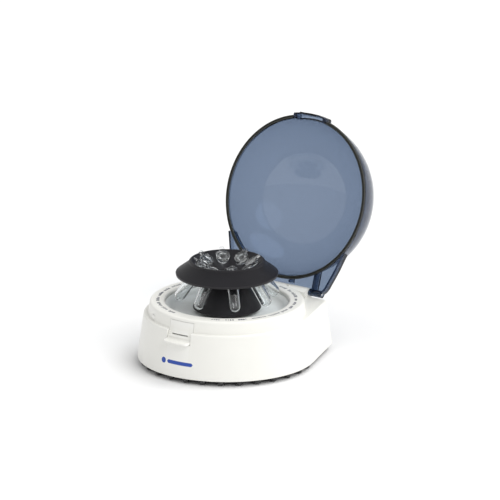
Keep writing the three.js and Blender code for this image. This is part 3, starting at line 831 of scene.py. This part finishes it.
def stripe(left, right, half, steps=24):
    """A bar with round ends, as narrow strips so that it bends with the wall."""
    spots = [left + (right - left) * i / steps for i in range(steps + 1)]
    edge = []
    for x in spots:
        near = min(x - left, right - x, half)
        edge.append((x, math.sqrt(max(half**2 - (half - near) ** 2, 0.02))))
    return edge


def front_mark(materials):
    """A plain blue dot and stripe low on the front wall."""
    shapes = []
    for left, right, half in ((-17.6, -12.2, 2.7), (-10.4, 17.6, 1.7)):
        edge = stripe(left, right, half)
        for (x0, y0), (x1, y1) in zip(edge, edge[1:]):
            shapes.append(wall_patch([(x0, -y0), (x1, -y1), (x1, y1), (x0, y0)], 18.7))
    made = solid("front_mark", joined(*shapes))
    return piece(made, "base", "white_plastic", materials["blue_ink"])


# ---------------------------------------------------------------- rotor and tubes


def tube_frame(i):
    """Stands a shape on tube number i's axis, with its origin at the tube's round end."""
    lean = Matrix.Rotation(math.radians(-TUBE_TILT), 4, "X")
    return turn_z(i * 360 / TUBES) @ Matrix.Translation(TUBE_END) @ lean


def rotor(materials):
    profile = [
        (0, 77.2), (7.4, 77.2), (7.4, 53.5), (10, 53.5), (10, 77), (16.6, 76),
        *arc(29.9, 52.4, 0.4, 210, 270, 3),
        *arc(31.3, 52.4, 0.4, -90, 30, 5),
        (20.3, 74), (18.6, 77.2), (22, 79.3), (37.6, 90.4), (45.2, 84.9),
        *arc(46.6, 84.0, 0.8, 215, 330, 6),
        *arc(46.5, 85.4, 1.15, 5, 58, 6),
        (36.1, 94.5), *arc(36.2, 95.7, 0.9, 250, 180, 4),
        *arc(33.8, 96.1, 1.5, 10, 150, 10),
        (31.7, 96.1), (13.2, 82.6), *arc(11.2, 84.9, 3.0, -52, -90, 5),
        (8.2, 81.9), *arc(8.2, 83.1, 1.2, 270, 190, 5),
        *arc(5.6, 84.9, 1.0, 20, 85, 5), (0, 86),
    ]
    made = solid("rotor_body", turned(profile))
    for i in range(TUBES):
        cut(made, moved(bar(TUBE_R + 0.5, 12, 48, flats=64), tube_frame(i)))
    return piece(made, "rotor", "rotor_black", materials["rotor_black"], "rotor")


def tube(i, materials):
    """A tube with its round end, flange and snap cap; the cap is a piece of its own."""
    inner = TUBE_R - 0.95
    mouth = TUBE_SEAT + 2.8
    body = f"tube_{i + 1}_body"
    cup = turned(
        [
            *arc(0, 0, TUBE_R, -90, 0, 16),
            (TUBE_R + 0.1, TUBE_SEAT + 0.85),
            (6.2, TUBE_SEAT + 0.85),
            *arc(6.15, TUBE_SEAT + 1.3, 0.25, -90, 90, 6),
            (TUBE_R + 0.1, TUBE_SEAT + 1.8),
            (TUBE_R + 0.1, mouth),
            (inner, mouth),
            *arc(0, 0, inner, 0, -90, 14),
        ],
        64,
    )
    made = solid(f"tube_cup_{i + 1}", moved(cup, tube_frame(i)))
    piece(made, body, "clear_plastic", materials["clear_plastic"], f"tube_{i + 1}")
    plug = inner - 0.35
    cap = turned(
        [
            (0, mouth - 0.4), (plug - 1, mouth - 0.4), (plug - 1, mouth - 2.3), (plug - 0.6, mouth - 2.6),
            (plug, mouth - 2.2), (plug, mouth + 0.35), (6.2, mouth + 0.35),
            *arc(6.1, mouth + 0.75, 0.4, -90, 0, 4), *arc(6.0, mouth + 1.6, 0.5, 0, 90, 5),
            (5.2, mouth + 2.1), (4.8, mouth + 1.7), (0, mouth + 1.7),
        ],
        64,
    )
    made = solid(f"tube_cap_{i + 1}", moved(cap, tube_frame(i)))
    tab = rounded_block((-2.4, -9.8, mouth + 0.9), (2.4, -5.4, mouth + 1.9), 1.2)
    bend = [
        (5.7, mouth + 0.6), *arc(6.2, mouth + 0.3, 1.3, 80, -30, 8), (7.2, TUBE_SEAT + 1.0),
        (5.9, TUBE_SEAT + 1.0), (5.9, mouth - 0.2),
    ]
    strap = rail(bend, -1.8, 1.8)
    add(made, moved(tab, tube_frame(i)), moved(strap, tube_frame(i)))
    piece(made, body, "clear_plastic", materials["clear_plastic"])


# ---------------------------------------------------------------- lid


def dome_arc(inset, start, end, steps):
    return [
        ((DOME_R - inset) * x, LEDGE_Z + (DOME_HEIGHT - inset) * y)
        for x, y in arc(0, 0, 1, start, end, steps)
    ]


def rib(start, end, low, high):
    (x0, y0), (x1, y1) = start, end
    length = math.hypot(x1 - x0, y1 - y0)
    spot = Matrix.Translation((x0, y0, 0)) @ Matrix.Rotation(math.atan2(y1 - y0, x1 - x0), 4, "Z")
    return moved(block((0, -1, low), (length, 1, high)), spot)


def hinge_arms():
    """The webs behind the dome, their upright ribs and the two knuckles, as one closed object."""
    edge = INNER_RIB[1] - 0.2
    made = solid("hinge_arms", block((-edge, 60, MIDDLE_LOW), (edge, HINGE.y - 0.6, MIDDLE_HIGH)))
    for side in (-1, 1):
        line = [(x * side, y) for x, y in ARM_LINE]
        inner, outer = sorted(x * side for x in INNER_RIB)
        left, right = sorted((side * (BLOCK_HALF + 0.6), side * KNUCKLE_OUTER))
        near = INNER_RIB[0] * side
        add(
            made,
            slab(line + [(line[-1][0], HINGE.y), (near, HINGE.y), (near, 43.5)], ARM_LOW, ARM_HIGH),
            block((inner, 62, RIM_Z + 0.1), (outer, HINGE.y, MIDDLE_HIGH)),
            rib((RIB_X * side, 74), (RIB_X * side, RIB_END), RIM_Z, MIDDLE_HIGH),
            hinge_bar(KNUCKLE_R, left, right),
            *[rib(start, end, RIM_Z, ARM_HIGH) for start, end in zip(line, line[1:])],
            *[bar(1, RIM_Z, ARM_HIGH, x, y, 24) for x, y in line[1:-1]],
        )
        cut(made, hinge_bar(PIN_R + GAP, left - 1, right + 1))
    cut(made, block((-BLOCK_HALF - 0.4, HINGE.y - 4.2, 40), (BLOCK_HALF + 0.4, 95, MIDDLE_LOW)))
    return made


def lid(materials):
    """The smoky dome with its flange, hinge arms, front grip and hook."""
    flange = RIM_Z + 1.5 + GAP
    made = solid(
        "lid_cover",
        turned(
            [
                (RIM_R, flange), (RIM_R, flange + 1.2), (RIM_R - 0.4, flange + 1.6),
                *dome_arc(0, 4, 90, 56), *dome_arc(DOME_WALL, 90, 2, 56), (DOME_R - DOME_WALL, flange),
            ]
        ),
    )
    hollow = turned(
        [
            (0, 30), (RIM_R + GAP, 30), (RIM_R + GAP, flange), (DOME_R - DOME_WALL / 2, flange),
            *dome_arc(DOME_WALL / 2, 2, 90, 40),
        ]
    )
    arms = cut(hinge_arms(), hollow)
    combine(made, "UNION", arms)
    grip = solid(
        "grip",
        turned(
            [
                (74, RIM_Z), (78.8, RIM_Z), *arc(78.8, RIM_Z + 0.55, 0.55, -90, 0, 4), (79.35, RIM_Z + 6.6),
                *arc(76.6, RIM_Z + 6.7, 2.75, 0, 90, 8), (74, RIM_Z + 9.45),
            ]
        ),
    )
    keep(grip, rounded_block((-18.5, -90, 40), (18.5, -60, 70), 1.5, "Y"))
    inner = turned([(0, 30), (74.6, 30), (74.6, flange), *dome_arc(DOME_WALL / 2, 8, 90, 30)])
    cut(grip, inner)
    combine(made, "UNION", grip)
    pocket = solid(
        "pocket", turned([(60, 40), (77.9, 40), (77.9, RIM_Z + 6.6), (76.5, RIM_Z + 8.2), (60, RIM_Z + 8.2)])
    )
    keep(pocket, block((-14.4, -90, 30), (14.4, -60, 70)))
    combine(made, "DIFFERENCE", pocket)
    hook = [
        (-79.1, RIM_Z + 0.5), (-79.1, 43.5), (-78.8, 43.2), (-77, 43.2), (-77, 44.4), (-77.5, 44.6),
        (-77.5, RIM_Z + 0.5),
    ]
    add(made, rail(hook, -9, 9))
    made.data.transform(in_frame(OPENED))
    return piece(made, "lid", "smoke_plastic", materials["smoke_plastic"], "lid_dome")


def in_frame(matrix):
    """A matrix for points in millimetres, as one for points in the part's frame."""
    to_frame = Matrix.Translation(AXIS) @ Matrix.Scale(MM, 4)
    return to_frame @ matrix @ to_frame.inverted()


def seal(materials):
    """The dark seal under the flange, with a groove between its two lips, open at the grip."""
    low, high = RIM_Z, RIM_Z + 1.5
    profile = [
        (74.6, low + 0.3), *arc(74.9, low + 0.3, 0.3, 180, 300, 3), (75.4, low + 0.1), (75.6, low + 0.8),
        (76.2, low + 0.8), (76.4, low + 0.1), *arc(76.9, low + 0.35, 0.35, 250, 360, 4),
        (RIM_R, high), (74.6, high),
    ]
    made = solid("lid_seal", turned(profile))
    cut(made, block((-18.9, -90, 40), (18.9, -60, 60)))
    made.data.transform(in_frame(OPENED))
    return piece(made, "lid", "rubber", materials["seal"], "lid_rim_seal")


# ---------------------------------------------------------------- studio


def floor():
    bpy.ops.mesh.primitive_plane_add(size=60)
    made = bpy.context.object
    made.name = "floor"
    nodes = Nodes("floor")
    nodes.link(
        nodes.mix(nodes.spread(nodes.noise(3), 0, 1), (0.86, 0.86, 0.86), (0.88, 0.88, 0.88)),
        nodes.shader.inputs["Base Color"],
    )
    nodes.set(Roughness=0.7)
    made.data.materials.append(nodes.material)


def aimed(made, target):
    made.rotation_mode = "QUATERNION"
    made.rotation_quaternion = (Vector(target) - made.location).to_track_quat("-Z", "Y")


def camera():
    """A long lens at the height and side that the part is looked at from."""
    azimuth, elevation = math.radians(35.3), math.radians(17)
    distance, sensor = 8.0, 36.0
    frame_width = 0.463  # metres of the object's plane across the picture
    data = bpy.data.cameras.new("camera")
    data.sensor_width = sensor
    data.lens = sensor * distance / frame_width
    data.clip_end = 100
    made = bpy.data.objects.new("camera", data)
    bpy.context.scene.collection.objects.link(made)
    target = AXIS + Vector((17.4, 12.3, 107.1)) * MM
    back = Vector((math.sin(azimuth), -math.cos(azimuth), 0)) * math.cos(elevation)
    made.location = target + (back + Vector((0, 0, math.sin(elevation)))) * distance
    aimed(made, target)
    bpy.context.scene.camera = made


def lamp(name, azimuth, elevation, strength, spread):
    """A far, wide lamp; azimuth is turned from the front towards the right."""
    data = bpy.data.lights.new(name, "SUN")
    data.energy = strength
    data.angle = math.radians(spread)
    made = bpy.data.objects.new(name, data)
    bpy.context.scene.collection.objects.link(made)
    turn, rise = math.radians(azimuth), math.radians(elevation)
    flat = Vector((math.sin(turn), -math.cos(turn), 0)) * math.cos(rise)
    made.location = flat + Vector((0, 0, math.sin(rise)))
    made.visible_glossy = False
    aimed(made, (0, 0, 0))


def lights():
    """Soft white room, a wide lamp from the right and a wide one above and behind the open lid."""
    world = bpy.data.worlds.new("world")
    world.use_nodes = True
    world.node_tree.nodes["Background"].inputs["Color"].default_value = (1, 1, 1, 1)
    world.node_tree.nodes["Background"].inputs["Strength"].default_value = 0.68
    bpy.context.scene.world = world
    lamp("right", 78, 40, 1.35, 40)
    lamp("behind", 155, 58, 1.3, 40)
    bpy.context.scene.view_settings.view_transform = "Standard"


# ---------------------------------------------------------------- assembly


def build():
    materials = make_materials()
    dress_cad_nodes(materials)
    housing(materials)
    bowl(materials)
    latch(materials)
    lever(materials)
    pan(materials)
    for name in FEET:
        foot(name, materials)
    for i in range(1, 5):
        screw(f"case_screw_{i}", materials)
    inlet(materials)
    switch_frame(materials)
    rocker(materials)
    ring_print(materials)
    front_mark(materials)
    rotor(materials)
    for i in range(TUBES):
        tube(i, materials)
    lid(materials)
    seal(materials)


build()
floor()
camera()
lights()
